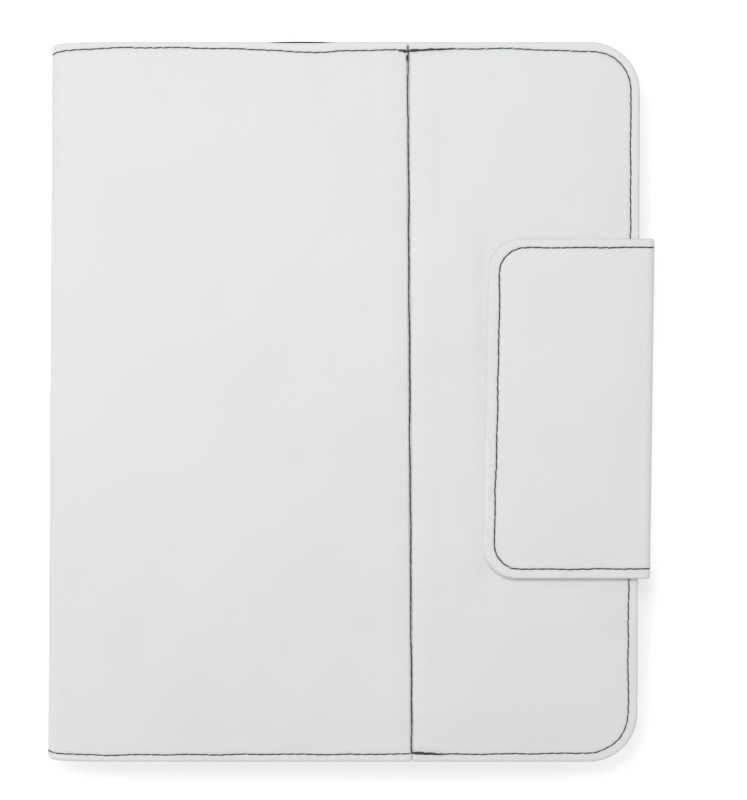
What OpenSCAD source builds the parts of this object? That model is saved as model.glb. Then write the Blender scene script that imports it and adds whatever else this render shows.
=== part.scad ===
// Folding case with a built-in keyboard for a ten inch tablet, closed and lying on its base.
// X runs from the spine to the free edge, Y along the spine, Z up from the table.

/* [Tablet] */
// Length of the tablet that the case holds
tablet_l = 241.2; // [225:0.1:255]
// Width of the tablet
tablet_w = 185.7; // [170:0.1:195]
// Thickness of the tablet
tablet_t = 9.4; // [7:0.1:11]

/* [Tablet tray] */
// Space between the tablet and the tray wall
bay_clear = 0.25; // [0.1:0.05:0.8]
// Wall of the moulded tray
tray_wall = 1.4; // [1:0.1:2]
// Back of the moulded tray
tray_back = 1.2; // [0.8:0.1:2]
// Corner radius of the tablet
tablet_r = 12; // [8:0.5:16]
// Thickness of the lips that hold the tablet's corners
lip_t = 0.8; // [0.6:0.1:1.2]
// How far each lip reaches over a corner of the tablet
lip_reach = 15; // [10:0.5:22]
// Thickness of the soft pads on the tray's back
pad_t = 0.3; // [0.2:0.05:0.5]
// Diameter of the soft pads
pad_d = 14; // [8:1:20]
// Place of the pads across the tray, as a share of its width from either side
pad_side = 0.2; // [0.15:0.01:0.35]
// Place of the pads along the tray, as a share of its length from the middle
pad_end = 0.33; // [0.2:0.01:0.4]
// Length of the opening for the charging lead
port_l = 26; // [16:1:40]
// Height left above and below the openings in the tray wall
port_margin = 2; // [1:0.1:3]
// Length of the opening for the tablet's buttons
button_slot_l = 42; // [30:1:60]
// Distance from the corner lip to the opening for the buttons
button_slot_in = 6; // [3:0.5:12]
// Length of the opening for the headphone plug
jack_l = 14; // [10:0.5:20]
// Distance from the corner lip to the opening for the headphone plug
jack_in = 4; // [2:0.5:10]
// Thickness of the adhesive sheet between tray and cover
glue_t = 0.3; // [0.2:0.05:0.6]
// Distance from the tray to the panel edge by the spine and at the free edge
side_margin = 5.75; // [4:0.05:9]
// Distance from the tray to the panel edge at both ends
end_margin = 2.25; // [1.5:0.05:6]

/* [Panels] */
// Thickness of the base, the spine and the strap
panel_t = 3; // [2.6:0.1:4]
// Thickness of the padded cover panels
cover_t = 3.4; // [3:0.1:5]
// Thickness of the outer skin
skin_t = 0.8; // [0.5:0.05:1.1]
// Width of the edge where the skin is turned over the board
turned_edge = 1.2; // [0.8:0.1:2]
// Thickness of the inner lining
lining_t = 0.4; // [0.3:0.05:0.6]
// Thickness of the foam under the skin of the cover
padding_t = 1; // [0.6:0.05:1.3]
// Corner radius at the free edge
corner_r = 17; // [10:0.5:22]
// Bevel that softens the panel edges
edge_bevel = 0.8; // [0.4:0.05:1.2]
// Space between a rolled fold and the panel that turns on it
fold_gap = 0.3; // [0.2:0.05:0.6]
// Space round a board in its pocket
board_fit = 0.1; // [0.05:0.05:0.4]

/* [Stitched fold] */
// Distance from the outside of the spine to the stitched fold
seam_at = 124.7; // [110:0.1:140]
// Half of the space between the two cover panels
seam_half = 0.9; // [0.8:0.05:1.5]
// Depth of the folding line below the outer face
seam_drop = 0.8; // [0.7:0.05:1.2]
// Radius of the rolled skin on the folding line
seam_roll_r = 0.55; // [0.4:0.05:0.6]
// Thickness of the skin that carries the roll
seam_web_t = 0.5; // [0.3:0.05:0.6]
// Width of the slope down to the folding line
seam_slope = 1.6; // [1.2:0.1:3]
// Depth of the slope down to the folding line
seam_fall = 0.9; // [0.6:0.05:1.2]

/* [Closing strap] */
// Length of the strap along the free edge
strap_l = 117.4; // [80:0.1:150]
// How far the strap's middle lies from the middle of the case
strap_y = -2.4; // [-10:0.1:10]
// How far the strap stands out past the free edge
strap_out = 4.6; // [4:0.1:10]
// Reach of the tongue over the cover, from the free edge
tongue_w = 52.4; // [40:0.1:65]
// Corner radius of the tongue
tongue_r = 10; // [6:0.5:16]
// Space between the tongue and the cover
tongue_gap = 0.3; // [0.2:0.05:0.8]
// Depth of the strap end that is sewn into the base
anchor_in = 12; // [8:0.5:20]
// Thickness of the strap end that is sewn into the base
anchor_t = 0.8; // [0.5:0.05:1]

/* [Closing magnets] */
// Diameter of a magnet
magnet_d = 12; // [8:0.5:15]
// Thickness of a magnet
magnet_t = 1.2; // [0.8:0.1:1.5]
// Distance between the two magnets
magnet_pitch = 60; // [40:1:75]
// Distance from the tongue's free edge to the magnets
magnet_in = 14; // [10:0.5:22]
// Width and length of a steel catch plate
catch_d = 18; // [14:1:24]
// Thickness of a steel catch plate
catch_t = 0.5; // [0.3:0.05:0.8]

/* [Keyboard] */
// Distance from the free edge of the base to the keyboard
kb_front_gap = 10; // [6:0.5:20]
// Border between the keys and the front and end edges of the keyboard
kb_border = 4.6; // [3.5:0.1:8]
// Depth of the bar behind the keys that holds the electronics
rear_bar = 16; // [14:0.5:24]
// Height of the keyboard case
kb_h = 5.8; // [5.6:0.1:8]
// Height of the lower half of the keyboard case
kb_lower_h = 3.4; // [2.6:0.1:3.8]
// Wall of the keyboard case
kb_wall = 1.4; // [1:0.1:2]
// Floor of the keyboard case
kb_floor = 1.2; // [0.8:0.1:1.6]
// Thickness of the keyboard's face
kb_face = 1.2; // [0.8:0.1:1.5]
// Corner radius of the keyboard case
kb_r = 6; // [3:0.5:10]

/* [Keys] */
// Distance from one key to the next
key_pitch = 16.6; // [15:0.1:17]
// Distance from the function row to the next row
function_pitch = 11.4; // [10:0.1:13]
// Space between neighbouring key caps
key_space = 2.2; // [1.8:0.1:3]
// Running space round a key cap in its hole
key_clear = 0.35; // [0.25:0.05:0.5]
// How far a key stands above the keyboard's face
key_rise = 1; // [0.6:0.1:1.4]
// Corner radius of a key cap
key_r = 1.6; // [1:0.1:2.5]
// Depth of the dish in a key cap
key_dish = 0.25; // [0.1:0.05:0.4]
// Flat rim at both sides of the dish
key_rim = 0.9; // [0.6:0.1:1.5]
// How far a key goes down
key_travel = 1.2; // [0.8:0.1:1.4]
// Height left under a key that is pressed down
key_stop = 0.4; // [0.2:0.1:0.8]
// Space between the closed cover's tray and the keys
closed_gap = 1.2; // [0.8:0.1:3]

/* [Key mechanism] */
// Thickness of the steel plate under the keys
plate_t = 0.4; // [0.3:0.05:0.6]
// Thickness of the contact membrane
membrane_t = 0.3; // [0.2:0.05:0.4]
// Thickness of the rubber sheet
rubber_t = 0.3; // [0.2:0.05:0.4]
// Foot diameter of a rubber dome
dome_d = 7; // [5:0.5:8]
// Top diameter of a rubber dome
dome_top_d = 3.6; // [2.5:0.1:4.5]
// Space between a dome and its key
dome_gap = 0.15; // [0.1:0.05:0.3]

/* [Electronics] */
// Length of the battery cell
battery_l = 84; // [50:1:90]
// Width of the battery cell
battery_w = 11; // [8:0.5:12]
// Thickness of the battery cell
battery_t = 2.8; // [2:0.1:3]
// Corner radius of the battery cell
battery_r = 1; // [0.5:0.1:2]
// Length of the circuit board
board_l = 62; // [50:1:80]
// Width of the circuit board
board_w = 11; // [9:0.5:12]
// Thickness of the circuit board
pcb_t = 0.8; // [0.6:0.1:1]
// Width of the charging socket
socket_w = 7.6; // [6:0.1:9]
// Height of the charging socket
socket_h = 2.4; // [2:0.1:2.6]
// Depth of the charging socket
socket_d = 5.2; // [4:0.1:7]
// Thickness of the charging socket's shell
socket_shell = 0.4; // [0.3:0.05:0.6]
// Thickness of the back of the charging socket
socket_back = 1; // [0.6:0.1:1.5]
// Width of the contact tongue in the charging socket
contact_w = 4.4; // [3:0.1:5]
// Thickness of the contact tongue
contact_t = 0.6; // [0.4:0.05:0.8]
// How far the contact tongue lies behind the mouth of the socket
contact_in = 1; // [0.5:0.1:2]
// Length of the power switch's slot
switch_slot_l = 8; // [7:0.1:10]
// Width of the power switch's slot
switch_slot_w = 3; // [2.4:0.1:4]
// Travel of the power switch
switch_travel = 3; // [2:0.1:3.5]
// How far the controls reach below the inside of the keyboard's face
control_drop = 1; // [0.6:0.1:1.4]
// How far the controls stand above the keyboard's face
control_rise = 0.5; // [0.3:0.1:0.8]
// How far the flat of the switch knob stands above the face
knob_rise = 0.2; // [0.1:0.05:0.4]
// Corner radius of the switch knob
knob_r = 0.6; // [0.3:0.05:1]
// Width of a grip ridge on the switch knob
grip_w = 0.5; // [0.3:0.05:0.7]
// Distance from one grip ridge to the next
grip_pitch = 1.1; // [0.8:0.05:1.4]
// Diameter of the connect button
button_d = 4; // [3:0.1:5]
// Travel of the connect button
button_travel = 0.5; // [0.3:0.1:0.6]
// Distance from the end of the keyboard to the power switch
switch_in = 24; // [20:0.5:26]
// Distance from the switch to the button and from the button to the first lens
control_pitch = 12; // [9:0.5:12]
// Distance from one lens to the next
lens_pitch = 4; // [3:0.1:4.5]
// Diameter of an indicator lens
lens_d = 1.8; // [1.2:0.1:2.5]

/* [Hidden] */
$fn = 48;
cut = 1; // overshoot of every cut through a face

// Tray and overall widths
bay_l = tablet_l + 2*bay_clear;
bay_w = tablet_w + 2*bay_clear;
bay_h = tablet_t + bay_clear;
tray_l = bay_l + 2*tray_wall;
tray_w = bay_w + 2*tray_wall;
lip_w = tray_wall + lip_reach;
fold_r = panel_t/2;
case_l = tray_l + 2*end_margin;
cover_w = 2*fold_r + fold_gap + tray_w + 2*side_margin;
case_w = cover_w + strap_out;

// Places across the case
x_spine = -case_w/2;
x_free = x_spine + cover_w;
x_spine_fold = x_spine + fold_r;
x_in = x_spine_fold + fold_r + fold_gap;
x_strap_fold = case_w/2 - fold_r;
x_tab = x_strap_fold - fold_r - fold_gap;
x_tongue = x_free - tongue_w;
x_seam = x_spine + seam_at;
x_wide = x_seam - seam_half;
x_narrow = x_seam + seam_half;
x_tray = x_in + side_margin;
x_magnet = x_tongue + magnet_in;
y_magnet = [strap_y - magnet_pitch/2, strap_y + magnet_pitch/2];

// Lengths of the folding strips and of the sewn strap end
spine_l = case_l - 2*edge_bevel;
strip_l = strap_l - 2*edge_bevel;
anchor_l = strap_l - 2*tongue_r;

// Keyboard outline and rows
row_units = 14;
row_count = 6;
kb_l = row_units*key_pitch + 2*kb_border - key_space;
keys_w = function_pitch + (row_count - 1)*key_pitch - key_space;
kb_w = rear_bar + keys_w + kb_border;
x_kb = x_free - kb_front_gap - kb_w;
x_keys = x_kb + rear_bar;

// Places in the bar behind the keys
x_rear = x_kb + rear_bar/2;
x_socket = x_rear - socket_w/2;
y_socket = kb_l/2 - socket_d;
y_switch = kb_l/2 - switch_in;
y_button = y_switch - control_pitch;
y_lens = y_button - control_pitch;
switch_knob_l = switch_slot_l - switch_travel - 2*key_clear;

// Heights
z_kb = panel_t;
z_face = z_kb + kb_h;
z_control = z_face - kb_face - control_drop;
z_joint = z_kb + kb_lower_h;
z_plate = z_kb + kb_floor;
z_membrane = z_plate + plate_t;
z_rubber = z_membrane + membrane_t;
z_key = z_rubber + rubber_t + key_travel + key_stop;
z_key_top = z_face + key_rise;
key_h = z_key_top - z_key;
z_tray = z_key_top + closed_gap;
z_bay = z_tray + lip_t;
z_tray_top = z_bay + bay_h + pad_t + tray_back;
z_cover = z_tray_top + glue_t;
z_cover_top = z_cover + cover_t;
z_tongue = z_cover_top + tongue_gap;
z_top = z_tongue + panel_t;

// Folding lines
z_low_fold = fold_r;
z_spine_fold = z_cover_top - fold_r;
z_strap_fold = z_top - fold_r;
z_seam = z_cover_top - seam_drop;

board_t = panel_t - skin_t - lining_t;
cover_board_t = cover_t - skin_t - padding_t - lining_t;

// Key widths of each row in units of key_pitch, from left to right
function_row = [for (i = [1:14]) 1];
number_row = [for (i = [1:13]) i < 13 ? 1 : 2];
upper_row = [for (i = [1:13]) i == 1 || i == 13 ? 1.5 : 1];
home_row = [for (i = [1:12]) i == 1 ? 1.75 : i == 12 ? 2.25 : 1];
lower_row = [for (i = [1:11]) i == 1 ? 2.25 : i == 11 ? 2.75 : 1];
bottom_row = [1, 1, 1, 1.25, 4.5, 1.25, 1, 1, 1, 1];
space_index = 4;
rows = [function_row, number_row, upper_row, home_row, lower_row, bottom_row];
bottom = row_count - 1;

function sum_to(v, n) = n == 0 ? 0 : v[n - 1] + sum_to(v, n - 1);
function row_pitch(r) = r == 0 ? function_pitch : key_pitch;
function row_x(r) = x_keys + (r == 0 ? 0 : function_pitch + (r - 1)*key_pitch);
function key_y(r, i) = (sum_to(rows[r], i) - row_units/2)*key_pitch + key_space/2;
function key_w(r) = row_pitch(r) - key_space;
function key_l(r, i) = rows[r][i]*key_pitch - key_space;
function dish_r(w) = (pow(w/2 - key_rim, 2) + key_dish*key_dish)/(2*key_dish);

// ---- Shapes that repeat ----

// Half outline of a panel's edge: flat, or bevelled above and below
function edge_points(r, t, c) = c > 0
    ? [[0, 0], [r - c, 0], [r, c], [r, t - c], [r - c, t], [0, t]]
    : [[0, 0], [r, 0], [r, t], [0, t]];

// Flat panel from x0 to x1 with bevelled edges, round corners at x1 and a straight end at x0
module panel(x0, x1, l, t, r, c = 0) {
    half = l/2;
    for (s = [0, 1]) mirror([0, s, 0]) {
        translate([x0, 0, 0]) rotate([90, 0, 90])
            linear_extrude(x1 - r - x0) polygon(edge_points(half, t, c));
        translate([x1 - r, half - r, 0]) rotate([90, 0, 0])
            linear_extrude(half - r) polygon(edge_points(r, t, c));
        translate([x1 - r, half - r, 0])
            rotate_extrude(angle = 90) polygon(edge_points(r, t, c));
    }
}

// Flat panel with square corners and bevelled long edges
module square_panel(x0, x1, l, t, c = 0) {
    for (s = [0, 1]) mirror([0, s, 0])
        translate([x0, 0, 0]) rotate([90, 0, 90])
            linear_extrude(x1 - x0) polygon(edge_points(l/2, t, c));
}

// Upright plate with four round corners, standing on z = 0
module rounded_plate(size_x, size_y, h, r) {
    translate([r, 0, 0]) cube([size_x - 2*r, size_y, h]);
    translate([0, r, 0]) cube([size_x, size_y - 2*r, h]);
    for (x = [r, size_x - r], y = [r, size_y - r])
        translate([x, y, 0]) cylinder(r = r, h = h);
}

// Pocket for the board inside a panel, narrower by gap on every side
module board_pocket(x0, x1, l, t, r, gap = 0) {
    inset = turned_edge + gap;
    panel(x0 + inset, x1 - inset, l - 2*inset, t, r - inset);
}

// Slope that lets the panels fold flat at the stitched fold, cut on the side away from the seam
module seam_slope_cut(side) {
    x = x_seam + side*seam_half;
    translate([0, case_l/2 + cut, 0]) rotate([90, 0, 0]) linear_extrude(case_l + 2*cut)
        polygon([
            [x - side*cut, z_cover_top - seam_fall],
            [x, z_cover_top - seam_fall],
            [x + side*seam_slope, z_cover_top],
            [x + side*seam_slope, z_cover_top + cut],
            [x - side*cut, z_cover_top + cut]
        ]);
}

// Folding strip between two folding lines on x = 0, with its outer face towards -x
module strip_skin(z0, z1, l) {
    for (z = [z0, z1])
        translate([0, l/2, z]) rotate([90, 0, 0]) cylinder(r = fold_r, h = l);
    translate([-fold_r, -l/2, z0]) cube([skin_t, l, z1 - z0]);
    for (s = [0, 1]) mirror([0, s, 0])
        translate([-fold_r, l/2 - turned_edge, strip_z0(z0)])
            cube([2*fold_r, turned_edge, strip_h(z0, z1)]);
}

function strip_z0(z0) = z0 + fold_r + fold_gap;
function strip_h(z0, z1) = z1 - z0 - 2*(fold_r + fold_gap);

module strip_layer(z0, z1, l, x0, t, gap = 0) {
    inset = turned_edge + gap;
    translate([x0, -l/2 + inset, strip_z0(z0)]) cube([t, l - 2*inset, strip_h(z0, z1)]);
}

// Key cap with its corner at the origin, dished from left to right if it isn't a long one
module key_cap(w, l, dished = true) {
    difference() {
        rounded_plate(w, l, key_h, key_r);
        if (dished)
            translate([-cut, l/2, key_h - key_dish + dish_r(l)]) rotate([0, 90, 0])
                cylinder(r = dish_r(l), h = w + 2*cut, $fn = 900);
    }
}

module at_key(r, i) translate([row_x(r), key_y(r, i), 0]) children();

module key_row(r) for (i = [0:len(rows[r]) - 1]) if (r != bottom || i != space_index)
    at_key(r, i) translate([0, 0, z_key]) key_cap(key_w(r), key_l(r, i), rows[r][i] < 2);

// Colours
white_leather = [0.90, 0.90, 0.89];
black_lining = [0.10, 0.10, 0.11];
greyboard = [0.62, 0.58, 0.50];
foam = [0.80, 0.80, 0.76];
black_plastic = [0.13, 0.13, 0.14];
key_black = [0.07, 0.07, 0.08];
steel = [0.66, 0.67, 0.69];

// ---- Base ----

module base_skin() color(white_leather) difference() {
    panel(x_in, x_free, case_l, panel_t, corner_r, edge_bevel);
    translate([0, 0, skin_t])
        board_pocket(x_in, x_free, case_l, panel_t, corner_r);
    anchor_slot(board_fit);
}

module base_board() color(greyboard) difference() {
    translate([0, 0, skin_t])
        board_pocket(x_in, x_free, case_l, board_t, corner_r, board_fit);
    anchor_slot(board_fit);
}

module base_lining() color(black_lining) translate([0, 0, panel_t - lining_t])
    board_pocket(x_in, x_free, case_l, lining_t, corner_r, board_fit);

// Room for the sewn end of the strap, between the skin and the board
module anchor_slot(gap) translate([x_free - anchor_in - gap, strap_y - anchor_l/2 - gap, skin_t])
    cube([anchor_in + gap + cut, anchor_l + 2*gap, anchor_t]);

module strap_anchor() color(white_leather) {
    translate([x_free - anchor_in, strap_y - anchor_l/2, skin_t])
        cube([anchor_in + cut, anchor_l, anchor_t]);
    translate([x_free, strap_y - strap_l/2, 0]) cube([x_tab - x_free, strap_l, panel_t]);
}

// ---- Keyboard ----

module keyboard_outline(z, h, inset) translate([x_kb + inset, inset - kb_l/2, z])
    rounded_plate(kb_w - 2*inset, kb_l - 2*inset, h, kb_r - inset);

module socket_hole(gap) translate([x_socket - gap, y_socket - gap, z_plate + pcb_t - gap])
    cube([socket_w + 2*gap, socket_d + 2*gap + cut, socket_h + 2*gap]);

module keyboard_bottom_case() color(black_plastic) {
    difference() {
        keyboard_outline(z_kb, kb_lower_h, 0);
        keyboard_outline(z_plate, kb_h, kb_wall);
        socket_hole(board_fit);
    }
    // Rib between the electronics and the key plate
    translate([x_keys - key_clear - kb_wall, kb_wall - kb_l/2 - board_fit, z_plate - board_fit])
        cube([kb_wall/2, kb_l - 2*kb_wall + 2*board_fit, kb_lower_h - kb_floor + board_fit]);
}

module key_hole(r, i) at_key(r, i) translate([-key_clear, -key_clear, z_joint])
    rounded_plate(key_w(r) + 2*key_clear, key_l(r, i) + 2*key_clear, kb_h, key_r + key_clear);

module keyboard_top_case() color(black_plastic) difference() {
    keyboard_outline(z_joint, kb_h - kb_lower_h, 0);
    keyboard_outline(z_joint - cut, kb_h - kb_lower_h - kb_face + cut, kb_wall);
    for (r = [0:bottom], i = [0:len(rows[r]) - 1]) key_hole(r, i);
    socket_hole(board_fit);
    translate([x_rear - switch_slot_w/2, y_switch - switch_slot_l/2, z_joint])
        rounded_plate(switch_slot_w, switch_slot_l, kb_h, switch_slot_w/2 - board_fit);
    translate([x_rear, y_button, z_joint]) cylinder(d = button_d + 2*key_clear, h = kb_h);
    for (i = [0:2]) translate([x_rear, y_lens - i*lens_pitch, z_joint])
        cylinder(d = lens_d, h = kb_h);
}

// Sheet under all the keys, from the rib to the front wall
module key_sheet(z, t) translate([x_keys - key_clear - kb_wall/2 + board_fit, 0, z])
    translate([0, kb_wall + board_fit - kb_l/2, 0])
        cube([keys_w + key_clear + kb_border - kb_wall/2 - 2*board_fit,
              kb_l - 2*kb_wall - 2*board_fit, t]);

module key_plate() color(steel) intersection() {
    key_sheet(z_plate, plate_t);
    keyboard_outline(z_kb, kb_h, kb_wall + board_fit);
}

module membrane() color([0.75, 0.80, 0.70]) intersection() {
    key_sheet(z_membrane, membrane_t);
    keyboard_outline(z_kb, kb_h, kb_wall + board_fit);
}

module dome_sheet() color([0.55, 0.56, 0.58]) {
    intersection() {
        key_sheet(z_rubber, rubber_t);
        keyboard_outline(z_kb, kb_h, kb_wall + board_fit);
    }
    for (r = [0:bottom], i = [0:len(rows[r]) - 1])
        at_key(r, i) translate([key_w(r)/2, key_l(r, i)/2, z_rubber])
            cylinder(d1 = dome_d, d2 = dome_top_d, h = z_key - dome_gap - z_rubber, $fn = 24);
}

module circuit_board() color([0.10, 0.32, 0.18]) {
    intersection() {
        translate([x_rear - board_w/2, kb_l/2 - kb_wall - board_fit - board_l, z_plate])
            cube([board_w, board_l, pcb_t]);
        keyboard_outline(z_kb, kb_h, kb_wall + board_fit);
    }
    // Switch body, button switch and lamps on the board, one below each control
    translate([x_rear - switch_slot_w/2, y_switch - switch_slot_l/2, z_plate])
        cube([switch_slot_w, switch_slot_l, z_control - z_plate - dome_gap]);
    translate([x_rear, y_button, z_plate])
        cylinder(d = button_d - 2*key_clear, h = z_control - z_plate - button_travel - dome_gap);
    for (i = [0:2]) translate([x_rear - lens_d/2, y_lens - i*lens_pitch - lens_d/2, z_plate])
        cube([lens_d, lens_d, z_face - kb_face - z_plate - board_fit]);
}

module battery_cell() color([0.72, 0.73, 0.76])
    translate([x_rear - battery_w/2, -battery_l/2 - board_l/2, z_plate])
        rounded_plate(battery_w, battery_l, battery_t, battery_r);

module charging_socket() color(steel) difference() {
    socket_hole(0);
    // Mouth of the socket, with its contact tongue left standing
    difference() {
        translate([x_socket + socket_shell, y_socket + socket_back, z_plate + pcb_t + socket_shell])
            cube([socket_w - 2*socket_shell, socket_d + 2*cut, socket_h - 2*socket_shell]);
        translate([x_rear - contact_w/2, y_socket, z_plate + pcb_t + socket_h/2 - contact_t/2])
            cube([contact_w, socket_d - contact_in, contact_t]);
    }
    translate([x_socket - cut, kb_l/2, z_plate]) cube([socket_w + 2*cut, 2*cut, kb_h]);
}

module indicator_lenses() color([0.75, 0.90, 0.80]) for (i = [0:2])
    translate([x_rear, y_lens - i*lens_pitch, z_face - kb_face])
        cylinder(d = lens_d - board_fit, h = kb_face);

// ---- Keys and controls ----

module function_keys() color(key_black) key_row(0);
module number_keys() color(key_black) key_row(1);
module upper_keys() color(key_black) key_row(2);
module home_keys() color(key_black) key_row(3);
module lower_keys() color(key_black) key_row(4);
module bottom_keys() color(key_black) key_row(bottom);
module space_bar() color(key_black) at_key(bottom, space_index) translate([0, 0, z_key])
    key_cap(key_w(bottom), key_l(bottom, space_index), false);

module power_switch() color(key_black) {
    // Knob in the slot, with three grip ridges, on a wider foot below the face
    translate([x_rear - switch_slot_w/2 + key_clear,
               y_switch - switch_slot_l/2 + key_clear, z_control])
        rounded_plate(switch_slot_w - 2*key_clear, switch_knob_l,
                      z_face - z_control + knob_rise, knob_r);
    for (i = [-1:1]) translate([x_rear - switch_slot_w/2 + 2*key_clear,
            y_switch - switch_slot_l/2 + key_clear + switch_knob_l/2 + i*grip_pitch - grip_w/2,
            z_face])
        cube([switch_slot_w - 4*key_clear, grip_w, control_rise]);
}

module connect_button() color(key_black) translate([x_rear, y_button, z_control])
    cylinder(d = button_d, h = z_face - z_control + control_rise);

// ---- Spine ----

module spine_skin() color(white_leather) translate([x_spine_fold, 0, 0])
    strip_skin(z_low_fold, z_spine_fold, spine_l);
module spine_board() color(greyboard) translate([x_spine_fold, 0, 0])
    strip_layer(z_low_fold, z_spine_fold, spine_l, skin_t - fold_r, board_t, board_fit);
module spine_lining() color(black_lining) translate([x_spine_fold, 0, 0])
    strip_layer(z_low_fold, z_spine_fold, spine_l, fold_r - lining_t, lining_t);

// ---- Wide cover panel ----

module wide_layer(z, t, gap = 0) translate([0, 0, z])
    square_panel(x_in + turned_edge + gap, x_wide - turned_edge - gap,
                 case_l - 2*turned_edge - 2*gap, t);

module cover_skin() color(white_leather) {
    difference() {
        translate([0, 0, z_cover]) square_panel(x_in, x_wide, case_l, cover_t, edge_bevel);
        wide_layer(z_cover - cut, cover_t - skin_t + cut);
        seam_slope_cut(-1);
    }
    // Sewn fold: a rolled edge on the folding line and the skin that carries it
    translate([x_seam, spine_l/2, z_seam]) rotate([90, 0, 0])
        cylinder(r = seam_roll_r, h = spine_l);
    translate([x_wide - cut, -spine_l/2, z_seam - seam_web_t/2])
        cube([seam_half + cut, spine_l, seam_web_t]);
}
module cover_padding() color(foam) wide_layer(z_cover + lining_t + cover_board_t, padding_t);
module cover_board() color(greyboard) wide_layer(z_cover + lining_t, cover_board_t, board_fit);
module cover_lining() color(black_lining) wide_layer(z_cover, lining_t);

// ---- Tablet tray ----

module tray_adhesive() color(foam) translate([x_tray + turned_edge, 0, z_tray_top])
    square_panel(0, x_wide - turned_edge - x_tray - turned_edge, tray_l - 2*lip_w, glue_t);

// Opening in the tray wall for a socket or a row of buttons, through the wall along y
module wall_port(x, y, l) translate([x - l/2, y - tray_wall - cut, z_bay + port_margin])
    cube([l, 2*(tray_wall + cut), bay_h - 2*port_margin]);

module tablet_tray() color(black_plastic) difference() {
    translate([x_tray, -tray_l/2, z_tray])
        rounded_plate(tray_w, tray_l, z_tray_top - z_tray, tablet_r + bay_clear + tray_wall);
    translate([x_tray + tray_wall, -bay_l/2, z_bay])
        rounded_plate(bay_w, bay_l, bay_h + pad_t, tablet_r + bay_clear);
    // The open face, cut as a cross so that a lip stays at each corner
    translate([x_tray + lip_w, -bay_l/2, z_tray - cut])
        cube([tray_w - 2*lip_w, bay_l, lip_t + 2*cut]);
    translate([x_tray + tray_wall, lip_w - tray_l/2, z_tray - cut])
        cube([bay_w, tray_l - 2*lip_w, lip_t + 2*cut]);
    wall_port(x_tray + tray_w/2, -tray_l/2, port_l);
    wall_port(x_tray + lip_w + button_slot_l/2 + button_slot_in, tray_l/2, button_slot_l);
    wall_port(x_tray + tray_w - lip_w - jack_l/2 - jack_in, tray_l/2, jack_l);
}

module tray_pads() color(foam)
    for (x = [pad_side, 1 - pad_side], y = [-pad_end, pad_end])
        translate([x_tray + tray_w*x, tray_l*y, z_bay + bay_h]) cylinder(d = pad_d, h = pad_t);

// ---- Narrow cover panel, the stand ----

module narrow_layer(z, t, gap = 0) translate([0, 0, z])
    board_pocket(x_narrow, x_free, case_l, t, corner_r, gap);

module stand_skin() color(white_leather) difference() {
    translate([0, 0, z_cover]) panel(x_narrow, x_free, case_l, cover_t, corner_r, edge_bevel);
    narrow_layer(z_cover - cut, cover_t - skin_t + cut);
    seam_slope_cut(1);
}
module stand_padding() color(foam) narrow_layer(z_cover + lining_t + cover_board_t, padding_t);
module stand_board() color(greyboard) difference() {
    narrow_layer(z_cover + lining_t, cover_board_t, board_fit);
    catches(board_fit, cut);
}
module stand_lining() color(black_lining) narrow_layer(z_cover, lining_t);

module catches(gap, over) for (y = y_magnet)
    translate([x_magnet - catch_d/2 - gap, y - catch_d/2 - gap,
               z_cover + lining_t + cover_board_t - catch_t])
        cube([catch_d + 2*gap, catch_d + 2*gap, catch_t + over]);
module catch_plates() color(steel) catches(0, 0);

// ---- Strap round the free edge ----

module at_strap() translate([x_strap_fold, strap_y, 0]) mirror([1, 0, 0]) children();

module strap_skin() color(white_leather) at_strap()
    strip_skin(z_low_fold, z_strap_fold, strip_l);
module strap_board() color(greyboard) at_strap()
    strip_layer(z_low_fold, z_strap_fold, strip_l, skin_t - fold_r, board_t, board_fit);
module strap_lining() color(black_lining) at_strap()
    strip_layer(z_low_fold, z_strap_fold, strip_l, fold_r - lining_t, lining_t);

// ---- Tongue of the strap ----

module at_tongue() translate([0, strap_y, z_tongue]) mirror([1, 0, 0]) children();
module tongue_layer(z, t, gap = 0) at_tongue() translate([0, 0, z])
    board_pocket(-x_tab, -x_tongue, strap_l, t, tongue_r, gap);

module tongue_skin() color(white_leather) difference() {
    at_tongue() panel(-x_tab, -x_tongue, strap_l, panel_t, tongue_r, edge_bevel);
    tongue_layer(-cut, panel_t - skin_t + cut);
}
module tongue_board() color(greyboard) difference() {
    tongue_layer(lining_t, board_t, board_fit);
    magnets(board_fit, cut);
}
module tongue_lining() color(black_lining) tongue_layer(0, lining_t);

module magnets(gap, under) for (y = y_magnet)
    translate([x_magnet, y, z_tongue + lining_t - under])
        cylinder(d = magnet_d + 2*gap, h = magnet_t + under);
module tongue_magnets() color(steel) magnets(0, 0);

base_skin();
base_board();
base_lining();
strap_anchor();
keyboard_bottom_case();
keyboard_top_case();
key_plate();
membrane();
dome_sheet();
circuit_board();
battery_cell();
charging_socket();
indicator_lenses();
function_keys();
number_keys();
upper_keys();
home_keys();
lower_keys();
bottom_keys();
space_bar();
power_switch();
connect_button();
spine_skin();
spine_board();
spine_lining();
cover_skin();
cover_padding();
cover_board();
cover_lining();
tray_adhesive();
tablet_tray();
tray_pads();
stand_skin();
stand_padding();
stand_board();
stand_lining();
catch_plates();
strap_skin();
strap_board();
strap_lining();
tongue_skin();
tongue_board();
tongue_lining();
tongue_magnets();
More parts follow.
